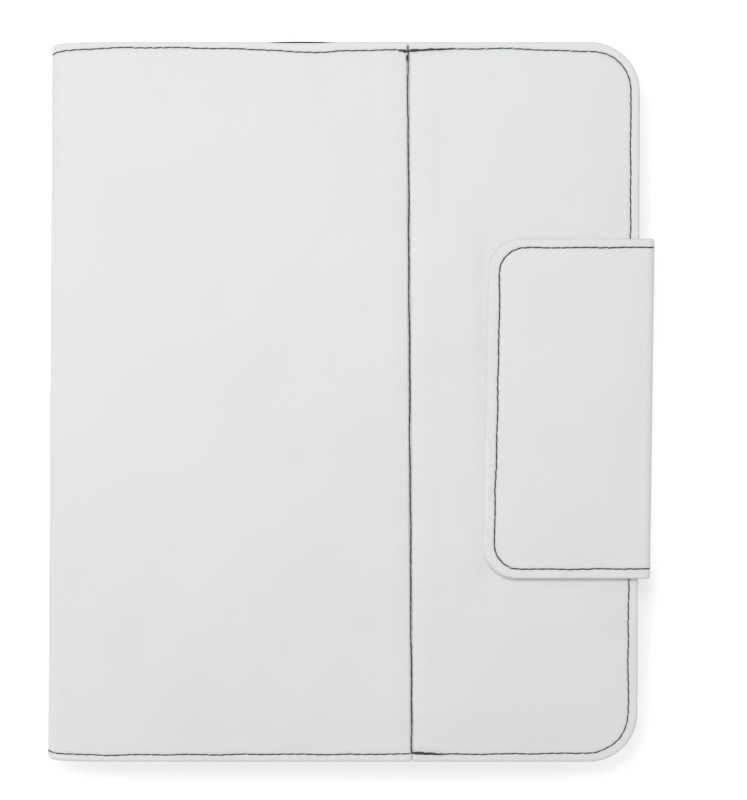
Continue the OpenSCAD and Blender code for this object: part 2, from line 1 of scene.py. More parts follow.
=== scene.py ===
import bpy
import bmesh
import math
import random
import numpy as np
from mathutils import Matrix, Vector


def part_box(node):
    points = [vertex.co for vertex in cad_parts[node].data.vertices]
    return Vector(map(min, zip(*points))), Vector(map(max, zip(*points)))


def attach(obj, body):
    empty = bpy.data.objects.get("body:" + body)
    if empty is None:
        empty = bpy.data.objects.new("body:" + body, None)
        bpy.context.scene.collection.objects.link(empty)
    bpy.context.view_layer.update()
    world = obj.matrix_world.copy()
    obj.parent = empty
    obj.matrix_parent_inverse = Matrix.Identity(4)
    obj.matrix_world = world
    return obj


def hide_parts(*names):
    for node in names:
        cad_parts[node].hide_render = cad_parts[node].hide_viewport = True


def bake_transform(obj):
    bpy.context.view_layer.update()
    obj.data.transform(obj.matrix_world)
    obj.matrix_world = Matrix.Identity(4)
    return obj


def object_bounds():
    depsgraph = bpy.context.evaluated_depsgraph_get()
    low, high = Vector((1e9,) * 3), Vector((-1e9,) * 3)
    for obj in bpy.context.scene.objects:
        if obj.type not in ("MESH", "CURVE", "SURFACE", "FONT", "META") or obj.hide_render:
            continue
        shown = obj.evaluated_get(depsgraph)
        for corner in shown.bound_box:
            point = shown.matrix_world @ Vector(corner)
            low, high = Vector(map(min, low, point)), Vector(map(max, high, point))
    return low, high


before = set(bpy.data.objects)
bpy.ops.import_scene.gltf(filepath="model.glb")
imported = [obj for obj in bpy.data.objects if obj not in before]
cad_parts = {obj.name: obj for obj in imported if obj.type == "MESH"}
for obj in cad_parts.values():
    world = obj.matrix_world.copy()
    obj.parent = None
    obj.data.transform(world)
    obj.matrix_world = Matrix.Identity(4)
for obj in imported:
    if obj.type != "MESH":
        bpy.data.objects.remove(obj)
cad_low, cad_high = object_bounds()
MM = 0.001
random.seed(7)

# ---------------------------------------------------------------------------
# The case is shown lying closed on a plain white table, under one large soft
# lamp from the upper left and an even white room. The camera hangs straight
# above it and sees the whole cover, with the spine at the left.
# ---------------------------------------------------------------------------
frame_height = 276.65 * MM
camera_height = 1.5
sensor = 36
view_centre = (7.85 * MM, 0.63 * MM)
cover_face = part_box("cover_skin")[1].z


def principled(name):
    """An empty node material with its Principled shader."""
    material = bpy.data.materials.new(name)
    material.use_nodes = True
    return material, material.node_tree, material.node_tree.nodes["Principled BSDF"]


def add_node(tree, kind, **values):
    """A node with its properties and its unlinked sockets set by name."""
    made = tree.nodes.new(kind)
    for key, value in values.items():
        if hasattr(made, key):
            setattr(made, key, value)
        else:
            made.inputs[key.replace("_", " ")].default_value = value
    return made


camera = bpy.data.objects.new("camera", bpy.data.cameras.new("camera"))
bpy.context.collection.objects.link(camera)
camera.location = (*view_centre, cover_face + camera_height)
camera.data.sensor_width = sensor
camera.data.lens = sensor * camera_height / frame_height
camera.data.clip_end = 20
bpy.context.scene.camera = camera
bpy.context.scene.view_settings.view_transform = "Standard"

world = bpy.data.worlds.new("room")
bpy.context.scene.world = world
world.use_nodes = True
room_tree = world.node_tree
room = room_tree.nodes["Background"]
room_light = 0.37
side_walls = (0.60, 0.0, 0.0)
window_side = (-0.12, 0.06, 0.0)
toward = room_tree.nodes.new("ShaderNodeTexCoord")
squared = add_node(room_tree, "ShaderNodeVectorMath", operation="MULTIPLY")
from_sides = add_node(room_tree, "ShaderNodeVectorMath", operation="DOT_PRODUCT")
from_sides.inputs[1].default_value = side_walls
from_window = add_node(room_tree, "ShaderNodeVectorMath", operation="DOT_PRODUCT")
from_window.inputs[1].default_value = window_side
both = add_node(room_tree, "ShaderNodeMath", operation="ADD")
lit = add_node(room_tree, "ShaderNodeMath", operation="ADD")
lit.inputs[1].default_value = room_light
room_tree.links.new(toward.outputs["Generated"], squared.inputs[0])
room_tree.links.new(toward.outputs["Generated"], squared.inputs[1])
room_tree.links.new(squared.outputs[0], from_sides.inputs[0])
room_tree.links.new(toward.outputs["Generated"], from_window.inputs[0])
room_tree.links.new(from_sides.outputs["Value"], both.inputs[0])
room_tree.links.new(from_window.outputs["Value"], both.inputs[1])
room_tree.links.new(both.outputs[0], lit.inputs[0])


def seen_rays(tree):
    """1 for what is seen directly, in a reflection or through a clear lens."""
    ray = tree.nodes.new("ShaderNodeLightPath")
    direct = add_node(tree, "ShaderNodeMath", operation="MAXIMUM")
    seen = add_node(tree, "ShaderNodeMath", operation="MAXIMUM")
    tree.links.new(ray.outputs["Is Camera Ray"], direct.inputs[0])
    tree.links.new(ray.outputs["Is Glossy Ray"], direct.inputs[1])
    tree.links.new(direct.outputs[0], seen.inputs[0])
    tree.links.new(ray.outputs["Is Transmission Ray"], seen.inputs[1])
    return seen.outputs[0]


brighter = add_node(room_tree, "ShaderNodeMath", operation="MAXIMUM")
room_tree.links.new(seen_rays(room_tree), brighter.inputs[0])
room_tree.links.new(lit.outputs[0], brighter.inputs[1])
room_tree.links.new(brighter.outputs[0], room.inputs["Strength"])
room.inputs["Color"].default_value = (1, 1, 1, 1)


def soft_lamp(name, place, long, wide, power):
    """A studio lamp with a flat diffuser, which faces the middle of the case."""
    lamp = bpy.data.objects.new(name, bpy.data.lights.new(name, "AREA"))
    lamp.data.shape = "RECTANGLE"
    lamp.data.size = long
    lamp.data.size_y = wide
    lamp.data.energy = power
    lamp.location = place
    lamp.rotation_euler = (-Vector(place)).to_track_quat("-Z", "Y").to_euler()
    bpy.context.collection.objects.link(lamp)


soft_lamp("main_lamp", (-0.06, 0.16, 0.8), 0.32, 0.32, 2.75)
soft_lamp("spine_fill", (-0.20, 0.0, 0.10), 0.45, 0.06, 0.034)

table_size = 1.6
table_drop = 0.4 * MM
table_glow = 0.50
bpy.ops.mesh.primitive_plane_add(size=table_size, location=(0, 0, -table_drop))
table = bpy.context.object
table.name = "table"
white_top, tree, shader = principled("table_white")
shader.inputs["Base Color"].default_value = (0.9, 0.9, 0.9, 1)
shader.inputs["Roughness"].default_value = 0.9
shader.inputs["Specular IOR Level"].default_value = 0.0
shader.inputs["Emission Color"].default_value = (1, 1, 1, 1)
lift = add_node(tree, "ShaderNodeMath", operation="MULTIPLY")
lift.inputs[1].default_value = table_glow
tree.links.new(seen_rays(tree), lift.inputs[0])
tree.links.new(lift.outputs[0], shader.inputs["Emission Strength"])
table.data.materials.append(white_top)

# ---------------------------------------------------------------------------
# White imitation leather: a thin skin with a fine even grain on a backing,
# satin, a little uneven in tone. Every outer panel is cut from it.
# ---------------------------------------------------------------------------


def fine_grain():
    """Node group for a fine pebbled or sparked surface, in grains per millimetre."""
    group = bpy.data.node_groups.new("fine_grain", "ShaderNodeTree")
    face = group.interface
    face.new_socket("Grains", in_out="INPUT", socket_type="NodeSocketFloat").default_value = 1.6
    face.new_socket("Height", in_out="OUTPUT", socket_type="NodeSocketFloat")
    face.new_socket("Cloud", in_out="OUTPUT", socket_type="NodeSocketFloat")
    start = group.nodes.new("NodeGroupInput")
    end = group.nodes.new("NodeGroupOutput")
    place = group.nodes.new("ShaderNodeTexCoord")
    scale = add_node(group, "ShaderNodeVectorMath", operation="SCALE")
    per_metre = add_node(group, "ShaderNodeMath", operation="MULTIPLY")
    per_metre.inputs[1].default_value = 1 / MM
    group.links.new(start.outputs["Grains"], per_metre.inputs[0])
    group.links.new(place.outputs["Object"], scale.inputs[0])
    group.links.new(per_metre.outputs[0], scale.inputs["Scale"])
    pebble = add_node(group, "ShaderNodeTexVoronoi", feature="SMOOTH_F1", Scale=1.0,
                      Smoothness=0.6)
    dust = add_node(group, "ShaderNodeTexNoise", Scale=2.3, Detail=3.0)
    mix = add_node(group, "ShaderNodeMath", operation="MULTIPLY_ADD")
    mix.inputs[1].default_value = 0.5
    group.links.new(scale.outputs[0], pebble.inputs["Vector"])
    group.links.new(scale.outputs[0], dust.inputs["Vector"])
    group.links.new(dust.outputs[0], mix.inputs[0])
    group.links.new(pebble.outputs["Distance"], mix.inputs[2])
    group.links.new(mix.outputs[0], end.inputs["Height"])
    cloud = add_node(group, "ShaderNodeTexNoise", Scale=28.0, Detail=2.0)
    group.links.new(place.outputs["Object"], cloud.inputs["Vector"])
    group.links.new(cloud.outputs[0], end.inputs["Cloud"])
    return group


grain_group = fine_grain()


def grained(name, dark, light, rough, grains, depth, spread=0.08):
    """A material with a fine grain, a cloudy change of tone and a matching change of gloss."""
    material, tree, shader = principled(name)
    grain = tree.nodes.new("ShaderNodeGroup")
    grain.node_tree = grain_group
    grain.inputs["Grains"].default_value = grains
    tone = tree.nodes.new("ShaderNodeValToRGB")
    tone.color_ramp.elements[0].position = 0.3
    tone.color_ramp.elements[0].color = (*dark, 1)
    tone.color_ramp.elements[1].position = 0.7
    tone.color_ramp.elements[1].color = (*light, 1)
    gloss = add_node(tree, "ShaderNodeMapRange")
    gloss.inputs["To Min"].default_value = rough - spread / 2
    gloss.inputs["To Max"].default_value = rough + spread / 2
    bump = add_node(tree, "ShaderNodeBump", Strength=1.0, Distance=depth * MM)
    tree.links.new(grain.outputs["Cloud"], tone.inputs[0])
    tree.links.new(grain.outputs["Cloud"], gloss.inputs["Value"])
    tree.links.new(grain.outputs["Height"], bump.inputs["Height"])
    tree.links.new(tone.outputs[0], shader.inputs["Base Color"])
    tree.links.new(gloss.outputs[0], shader.inputs["Roughness"])
    tree.links.new(bump.outputs[0], shader.inputs["Normal"])
    return material, shader


white_leather, shader = grained(
    "white_leather", (0.762, 0.765, 0.764), (0.782, 0.785, 0.784), 0.48, 1.7, 0.018)
shader.inputs["Specular IOR Level"].default_value = 0.35

# ---------------------------------------------------------------------------
# The base: greyboard wrapped in white leather, with the keyboard on its black
# lining. Its leather runs on round the lower fold and half way up the spine,
# so that it bends there in one piece. The border is sewn.
# ---------------------------------------------------------------------------
panel_t = 3.0  # skin, board and lining together, in millimetres like all below
skin_t = 0.8
roll_r = 3.0  # outer radius of the folds at the spine
quarter = roll_r * math.pi / 2
x_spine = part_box("spine_skin")[0].x / MM
x_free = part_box("stand_skin")[1].x / MM
x_seam = 20.5
half_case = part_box("cover_skin")[1].y / MM
x_roll = x_spine + roll_r
z_split = 14.0  # where the upper and the lower skin meet on the spine and on the strap
corner_r = 17.0
stitch_pitch = 3.25
turned_edge = 1.2
rim = 0.8


def spaced(length, spacing, fine=None):
    """Steps from 0 to 1, about one spacing apart and three times closer inside fine."""
    marks = [0.0]
    while marks[-1] < length:
        close = fine is not None and fine[0] <= marks[-1] <= fine[1]
        marks.append(marks[-1] + (spacing / 3 if close else spacing))
    return np.array(marks) / marks[-1]


class Sheet:
    """A sewn panel, laid out flat from x0 to x1, before it is rolled round its fold.

    It is cut straight at x0 and has round corners at x1; all sizes are in millimetres. The
    stitched border runs along both sides, and round x1 too where free_end is true. The row
    lies row_in from the edge, and strays from there by stray(x, y)."""

    def __init__(self, x0, x1, half, radius, spacing, fine=None, free_end=True, row_in=2.4,
                 stray=lambda x, y: 0 * x):
        self.x0, self.x1, self.half, self.radius = x0, x1, half, radius
        self.free_end, self.row_in, self.stray = free_end, row_in, stray
        self.u = spaced(x1 - x0, spacing, fine)
        self.v = spaced(2 * half, spacing)

    def ring(self, inset):
        """The border moved in by inset, as three sides that meet in the middle of each corner."""
        half, x1 = self.half - inset, self.x1 - inset
        r = max(self.radius - inset, 0.0)
        arc = r * math.pi / 4
        run = self.u * (x1 - r - self.x0 + arc)
        over = np.maximum(run - (x1 - r - self.x0), 0) / max(r, 1e-9)
        side_x = np.where(over > 0, x1 - r + r * np.sin(over), self.x0 + run)
        side_y = half - r + r * np.cos(over)
        run = self.v * (2 * (half - r) + 2 * arc)
        low = np.maximum(arc - run, 0) / max(r, 1e-9)
        high = np.maximum(run - arc - 2 * (half - r), 0) / max(r, 1e-9)
        end_x = x1 - r + r * np.cos(low + high)
        end_y = np.clip(run - arc, 0, 2 * (half - r)) - half + r + r * (np.sin(high) - np.sin(low))
        return (np.stack([side_x, -side_y], 1), np.stack([end_x, end_y], 1),
                np.stack([side_x, side_y], 1))

    def layout(self, insets):
        """Flat points and faces: a grid, then rings that follow the border out to its edge."""
        below, end, above = self.ring(insets[0])
        nu, nv = len(self.u), len(self.v)
        u, v = self.u[None, :, None], self.v[:, None, None]
        start = np.stack([np.full(nv, self.x0), below[0, 1] * (1 - 2 * self.v)], 1)
        grid = ((1 - u) * start[:, None] + u * end[:, None] + (1 - v) * below[None]
                + v * above[None] - (1 - u) * (1 - v) * below[0] - u * (1 - v) * below[-1]
                - (1 - u) * v * above[0] - u * v * above[-1])
        index = np.arange(nu * nv).reshape(nv, nu)
        faces = [np.stack([index[:-1, :-1], index[:-1, 1:], index[1:, 1:], index[1:, :-1]], -1)
                 .reshape(-1, 4)]
        points = [grid.reshape(-1, 2)]
        inner = np.concatenate([index[0], index[1:-1, -1], index[-1, ::-1]])
        total = nu * nv
        for inset in insets[1:]:
            below, end, above = self.ring(inset)
            ring = np.concatenate([below, end[1:-1], above[::-1]])
            outer = np.arange(total, total + len(ring))
            total += len(ring)
            points.append(ring)
            faces.append(np.stack([inner[:-1], outer[:-1], outer[1:], inner[1:]], -1))
            inner = outer
        return np.concatenate(points), np.concatenate(faces)

    def border(self, x, y):
        """Distance in from the stitched border, and the length run along it."""
        across = self.half - np.abs(y)
        if not self.free_end:
            return across, x * 1.0
        r, along = self.radius, self.x1 - x
        corner = (across < r) & (along < r)
        edge = np.where(corner, r - np.hypot(r - across, r - along), np.minimum(across, along))
        turn = np.arctan2(np.maximum(r - along, 0), np.maximum(r - across, 1e-9))
        end_run = self.x1 - r + r * math.pi / 2 + self.half - r - np.abs(y)
        run = np.where(corner, self.x1 - r + r * turn, np.where(along < across, end_run, x))
        return edge, run

    def row_inset(self, x, y):
        """Distance of the stitched row from the edge at each point."""
        wander = 0.08 * np.sin((x + y) / 2.9) + 0.06 * np.sin((x - y) / 7.1 + 1)
        return self.row_in + self.stray(x, y) + wander

    def row_path(self, spacing=0.5):
        """Points along the stitched row, at an even spacing."""
        near, far = (np.concatenate([below, end[1:-1], above[::-1]]) if self.free_end else below
                     for below, end, above in (self.ring(2.0), self.ring(3.0)))
        middle = near + (self.row_in - 2) * (far - near)
        path = near + (self.row_inset(*middle.T) - 2)[:, None] * (far - near)
        if not self.free_end:
            path = np.concatenate([path, [[self.x1, path[-1, 1]]]])
        lengths = np.concatenate([[0], np.cumsum(np.hypot(*np.diff(path, axis=0).T))])
        even = np.linspace(0, lengths[-1], int(lengths[-1] / spacing))
        return np.stack([np.interp(even, lengths, path[:, 0]),
                         np.interp(even, lengths, path[:, 1])], 1)


def smooth(x, low, high):
    """Smooth step from 0 at low to 1 at high."""
    t = np.clip((x - low) / (high - low), 0, 1)
    return t * t * (3 - 2 * t)


def rounded_rim(d, r=rim):
    """How far a half-round edge has fallen at distance d from its rim."""
    d = np.clip(d, 0, r)
    return r - np.sqrt(r * r - (r - d) ** 2)


def lean(x, y):
    """The case was laid down by hand and stands a little askew from fold to fold."""
    return np.interp(x, [x_spine, x_seam, x_free], [0.75, -0.7, 0.45]) * y / half_case


def notch(x, y):
    """The two cover panels part a little at the near end of the sewn fold."""
    off = x - x_seam
    near_end = smooth(-y, half_case - 3, half_case - 1)
    return 0.16 * np.sign(off) * np.exp(-np.abs(off) / 1.2) * near_end


def drawn_in(x, y):
    """The skin is drawn in where it is turned over at the two ends of the spine."""
    off = np.maximum(x - x_spine, 0)
    pull = 0.9 * np.exp(-off / 6) + 0.6 * np.exp(-off / 1.1)
    gap = 0.38 * np.exp(-((off - 87.5) / 11) ** 4) * (y > 0)
    return -np.sign(y) * (pull + gap) * smooth(np.abs(y), half_case - 30, half_case)


def lay(x, y, h, z_out, up=1, mirrored=False, rolled=True, y_mid=0.0, r=roll_r):
    """Take flat points, h above the outer face, round the fold and onto the case, in metres."""
    y = y + y_mid
    z = z_out + up * h
    start = x_spine + r
    if rolled:
        u = np.maximum(start - x, 0)
        turn = np.minimum(u / r, math.pi / 2)
        down = np.maximum(u - r * math.pi / 2, 0)
        z = np.where(u > 0, z_out + up * ((r + h) * np.cos(turn) - r - down), z)
        x = np.where(u > 0, start - (r + h) * np.sin(turn), x)
    if mirrored:
        return np.stack([-x + strap_lean(-x, y), y, z], axis=1) * MM
    y = y + drawn_in(x, y)
    return np.stack([x + lean(x, y) + notch(x, y), y, z], axis=1) * MM


def closed_mesh(name, points, faces, material):
    """A mesh object whose normals all face outwards."""
    mesh = bpy.data.meshes.new(name)
    mesh.from_pydata(points.tolist(), [], faces.tolist())
    bm = bmesh.new()
    bm.from_mesh(mesh)
    bmesh.ops.remove_doubles(bm, verts=bm.verts, dist=2e-6)
    bmesh.ops.recalc_face_normals(bm, faces=bm.faces)
    bm.to_mesh(mesh)
    bm.free()
    mesh.materials.append(material)
    mesh.shade_smooth()
    made = bpy.data.objects.new(name, mesh)
    bpy.context.collection.objects.link(made)
    return made


ring_insets = [7.0, 5.9, 5.0, 4.3, 3.9, 3.5, 3.15, 2.8, 2.5, 2.2, 1.9, 1.6, 1.4, 1.2, 1.0]
ring_insets += [rim * (1 - math.sin(math.radians(a))) for a in (5, 18, 32, 46, 60, 75, 90)]


def panel(name, sheet, outer, inner, material, **laid):
    """A closed panel between two faces, whose heights are functions of flat x and y."""
    flat, faces = sheet.layout(ring_insets)
    x, y = flat.T
    points = np.concatenate([lay(x, y, outer(x, y), **laid), lay(x, y, inner(x, y), **laid)])
    edges = np.concatenate([faces[:, pair] for pair in ([0, 1], [1, 2], [2, 3], [3, 0])])
    known = set(map(tuple, edges.tolist()))
    rim_edges = np.array([e for e in known if (e[1], e[0]) not in known])
    size = len(flat)
    walls = np.stack([rim_edges[:, 1], rim_edges[:, 0], rim_edges[:, 0] + size,
                      rim_edges[:, 1] + size], 1)
    every = np.concatenate([faces, faces[:, ::-1] + size, walls])
    return closed_mesh(name, points, every, material)


# Slow waves that hand work leaves in a padded skin: wavelength, direction, phase
waves = [(random.uniform(22, 70), random.uniform(0, math.pi), random.uniform(0, 6.3))
         for wave in range(9)]


def uneven(x, y, size):
    """Gentle unevenness of a glued skin, in millimetres."""
    total = sum(math.sqrt(length / 60) * np.cos(
        2 * math.pi * (x * math.cos(turn) + y * math.sin(turn)) / length + phase)
        for length, turn, phase in waves)
    return size * total / 4


def sewn_edge(sheet, x, y, depth=0.11):
    """Relief of a stitched border: a sunk row with a pucker at each hole."""
    d, run = sheet.border(x, y)
    off = d - sheet.row_inset(x, y)
    pucker = 0.5 + 0.5 * np.cos(2 * math.pi * run / stitch_pitch)
    row = np.exp(-(off / 0.55) ** 2)
    beside = np.exp(-(off / 1.3) ** 2)
    return d, -depth * row - 0.06 * pucker * beside


bend_t = 1.2  # turned edge where it goes round a fold
seam_lip, seam_t = 0.9, 1.5  # how wide and how thick the skin is left beside the sewn fold


def hollow(sheet, panel_depth, pocket, seam=None, start=x_roll, r=roll_r, round_under=0.5):
    """Inner face of a skin: full depth at the turned edge, a pocket for the board behind it.

    Where seam(x) gives the distance from a sewn fold, the skin is a thin web beside it."""
    def inner(x, y):
        rise = d = sheet.border(x, y)[0]
        if seam is not None:
            d = np.minimum(d, seam(x) - skin_t)
        edge = 1 - smooth(d, turned_edge, turned_edge + 0.2)
        flat = smooth(x - start, 0.2, 1.2)
        side = smooth(start - x - r * math.pi / 2, 0.4, 1.4)
        at_edge = flat * panel_depth + side * panel_t + (1 - flat - side) * bend_t
        behind = flat * pocket + (1 - flat) * skin_t
        rounding = rounded_rim(rise, round_under) * (flat + side)
        depth = edge * at_edge + (1 - edge) * behind - rounding
        return -depth if seam is None else -np.where(seam(x) < seam_lip, seam_t, depth)
    return inner


base_side = z_split - roll_r
base_sheet = Sheet(x_roll - quarter - base_side, x_free, half_case, corner_r, 1.5,
                   fine=(base_side - 2, base_side + quarter + 1))


def base_face(x, y):
    """Outer face of the base: a round rim and its sewn row, smooth on the spine's side."""
    d, relief = sewn_edge(base_sheet, x, y)
    return relief * smooth(x, x_roll - quarter, x_roll) - rounded_rim(d)


base = panel("base_leather", base_sheet, base_face, hollow(base_sheet, panel_t, skin_t),
             white_leather, z_out=0.0, up=-1)
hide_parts("base_skin")
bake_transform(base)


def thread_mesh(name, lines, material, thick=0.2, overlap=0.16, slant=0.08):
    """Stitches along surface lines: each one a short twisted rope, laid a little slantwise as a
    sewing machine lays it, whose ends dive into a hole."""
    around, along, twist = 10, 11, 2.6
    angle = np.linspace(0, 2 * math.pi, around, endpoint=False)
    step = np.array([0, 0.02, 0.05, 0.1, 0.27, 0.5, 0.73, 0.9, 0.95, 0.98, 1])
    points, faces, total = [], [], 0
    for line, up in lines:
        steps = np.linalg.norm(np.diff(line, axis=0), axis=1) / MM
        run = np.concatenate([[0], np.cumsum(steps)])
        count = max(int(run[-1] / stitch_pitch), 1)
        for k in range(count):
            length = run[-1] / count + overlap * random.uniform(0.6, 1.4)
            start = (k + 0.5) * run[-1] / count - length / 2 + random.uniform(-0.08, 0.08)
            first, last = max(start, 0), min(start + length, run[-1])
            s = first + step * (last - first)
            mid = np.stack([np.interp(s, run, line[:, i]) for i in range(3)], 1)
            high = np.stack([np.interp(s, run, up[:, i]) for i in range(3)], 1)
            ahead = np.gradient(mid, axis=0)
            ahead /= np.linalg.norm(ahead, axis=1)[:, None]
            aside = np.cross(high, ahead)
            aside /= np.linalg.norm(aside, axis=1)[:, None]
            t = 2 * step - 1
            arch = 0.65 * thick - (1.9 * thick) * np.abs(t) ** 14 + random.uniform(-0.02, 0.02)
            skew = (slant + random.uniform(-0.07, 0.07)) * t + random.uniform(-0.05, 0.05)
            mid = mid + (high * arch[:, None] + aside * skew[:, None]) * MM
            wide = thick * (1 - 0.4 * np.abs(t) ** 5)[:, None]
            lobes = 1 + 0.16 * np.cos(2 * (angle[None] - twist * math.pi * t[:, None]))
            ring = (mid[:, None] + MM * (wide * lobes)[..., None]
                    * (aside[:, None] * np.cos(angle)[None, :, None]
                       + high[:, None] * np.sin(angle)[None, :, None]))
            points.append(ring.reshape(-1, 3))
            index = total + np.arange(along * around).reshape(along, around)
            after = np.roll(index, -1, axis=1)
            sides = np.stack([index[:-1], after[:-1], after[1:], index[1:]], -1)
            faces += sides.reshape(-1, 4).tolist()
            faces += [index[0, ::-1].tolist(), index[-1].tolist()]
            total += along * around
    mesh = bpy.data.meshes.new(name)
    mesh.from_pydata(np.concatenate(points).tolist(), [], faces)
    mesh.materials.append(material)
    mesh.shade_smooth()
    made = bpy.data.objects.new(name, mesh)
    bpy.context.collection.objects.link(made)
    return made


def on_face(sheet, outer, side=1, from_x=None, to_x=None, **laid):
    """The stitched row of a sheet on its outer face, with the way up at each point."""
    flat = sheet.row_path()
    if side < 0:
        x = flat[:, 0]
        flat = np.stack([x, half_case - sheet.row_inset(x, 0 * x + 1)], 1)
    if from_x is not None:
        flat = flat[flat[:, 0] > from_x]
    if to_x is not None:
        flat = flat[flat[:, 0] < to_x]
    x, y = flat.T
    at = lay(x, y, outer(x, y), **laid)
    over = lay(x, y, outer(x, y) + 1.0, **laid)
    return at, (over - at) / MM


thread, shader = grained("thread", (0.022, 0.034, 0.036), (0.034, 0.050, 0.052), 0.62, 5.0, 0.05)
shader.inputs["Sheen Weight"].default_value = 0.25
off_table = 0.35  # the thread is sunk so far that it clears the table
base_stitches = thread_mesh("base_stitching", [
    on_face(base_sheet, base_face, from_x=x_roll + 1, z_out=off_table, up=-1)], thread)
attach(base_stitches, "base")

# ---------------------------------------------------------------------------
# The wide cover panel: board and thin foam under white leather, which is
# puffed beside the sewn fold and runs on round the upper fold and down the
# spine. Both ends are turned over and sewn.
# ---------------------------------------------------------------------------
cover_t = 3.4
foam_t = 1.0
z_cover_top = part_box("cover_skin")[1].z / MM
x_wide, x_narrow = x_seam - 0.12, x_seam + 0.12
cover_side = z_cover_top - roll_r - z_split


def wide_stray(x, y):
    """The row at the far end wanders, as it was fed by hand; the near one is straighter."""
    off = x - x_spine
    far = np.interp(off, [0.5, 13, 21.5, 42.3, 66.6, 87.4, 96.1, 105, 122],
                    [0.6, 0.0, -0.42, -0.32, 0.0, 0.8, 1.0, 0.55, 0.4])
    near = np.interp(off, [0.5, 13, 22, 45, 105], [0.3, -0.05, -0.15, 0.1, 0.2])
    return np.where(y > 0, far, near)


wide_sheet = Sheet(x_roll - quarter - cover_side, x_wide, half_case, 0.1, 1.0,
                   fine=(cover_side - 2, cover_side + quarter + 1), free_end=False,
                   stray=wide_stray)


crown_height = 0.36


def padded(x, y, d, seam):
    """Height of the foam under the skin: a low crown, puffed where it meets the sewn fold."""
    crown = crown_height * smooth(d, 2.6, 18) + uneven(x, y, 0.16) * smooth(d, 1, 10)
    puff = (0.10 * np.exp(-((seam - 6) / 3) ** 2)
            - 0.32 * np.exp(-np.maximum(seam, 0) / 1.7)) * smooth(d, 2.0, 9)
    ripple = 0.04 * np.exp(-((seam - 2.4) / 1.8) ** 2) * (
        np.cos(y / 0.86) + 0.8 * np.cos(y / 1.43 + 1) + 0.7 * np.cos(y / 2.3 + 2))
    groove = (0.25 + 0.30 * smooth(d, 0.8, 3)) * (1 - smooth(seam, -0.1, 0.9))
    return crown + puff + ripple - groove


def wide_face(x, y):
    """Outer face of the wide panel: padded, with a short crease near one corner of the spine."""
    d, relief = sewn_edge(wide_sheet, x, y)
    over_fold = smooth(x, x_roll - quarter, x_roll + 14)
    seam = x_wide - x
    crease = 0.5 * np.exp(-((x - x_spine - 6.7 + 0.5 * (y + 105)) / 0.9) ** 2
                          - ((y + 105) / 6) ** 2)
    sewn = smooth(x, x_roll - quarter, x_roll - 1)
    return sewn * relief - rounded_rim(d) + over_fold * padded(x, y, d, seam) - crease


wide = panel("wide_cover_leather", wide_sheet, wide_face,
             hollow(wide_sheet, cover_t, skin_t + foam_t, lambda x: x_wide - x),
             white_leather, z_out=z_cover_top)
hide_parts("cover_skin", "cover_padding", "spine_skin")
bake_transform(wide)
row_start = x_roll - 3.9
wide_stitches = thread_mesh("wide_cover_stitching", [
    on_face(wide_sheet, wide_face, side, from_x=row_start, to_x=x_seam - 0.15, z_out=z_cover_top)
    for side in (-1, 1)], thread)
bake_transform(wide_stitches)

# ---------------------------------------------------------------------------
# The narrow cover panel, which folds back as the tablet's stand. It is made
# like the wide one and sewn on three sides; two steel plates under its skin
# catch the tongue's magnets.
# ---------------------------------------------------------------------------


def narrow_stray(x, y):
    """The row swings in before the far corner, and runs a little wide on the other sides."""
    off = x - x_seam
    far = np.interp(off, [0.6, 15.6, 31.6, 45.6, 59.6, 71.6, 78.6],
                    [0.4, 0.1, -0.1, 0.5, 0.9, 0.6, 0.7])
    near = np.interp(off, [0.6, 39.6, 78.6], [0.3, 0.3, 1.0])
    share = smooth(y, -40, 40)
    return far * share + near * (1 - share)


narrow_sheet = Sheet(x_narrow, x_free, half_case, corner_r, 1.0, fine=(0, 7), stray=narrow_stray)
x_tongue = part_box("tongue_skin")[0].x / MM
strap_half = 58.7
strap_y = -2.4


def narrow_face(x, y):
    """Outer face of the narrow panel: padded, and pressed flat under the tongue."""
    d, relief = sewn_edge(narrow_sheet, x, y)
    seam = x - x_narrow
    pressed = smooth(x, x_tongue - 5.5, x_tongue + 1) * (
        1 - smooth(np.abs(y - strap_y), strap_half - 1, strap_half + 5.5))
    soft = padded(x, y, d, seam)
    return relief - rounded_rim(d) + soft * (1 - pressed) + np.minimum(soft, 0.02) * pressed


narrow = panel("narrow_cover_leather", narrow_sheet, narrow_face,
               hollow(narrow_sheet, cover_t, skin_t + foam_t, lambda x: x - x_narrow),
               white_leather, z_out=z_cover_top, rolled=False)
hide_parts("stand_skin", "stand_padding")
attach(narrow, "stand")
narrow_stitches = thread_mesh("narrow_cover_stitching", [
    on_face(narrow_sheet, narrow_face, from_x=x_seam + 0.6, z_out=z_cover_top, rolled=False)],
    thread)
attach(narrow_stitches, "stand")

# ---------------------------------------------------------------------------
# The sewn fold between the two cover panels: both skins are drawn down into
# a groove, where a web of leather carries one row of heavier thread. Under
# it a strip of lining bridges the panels.
# ---------------------------------------------------------------------------


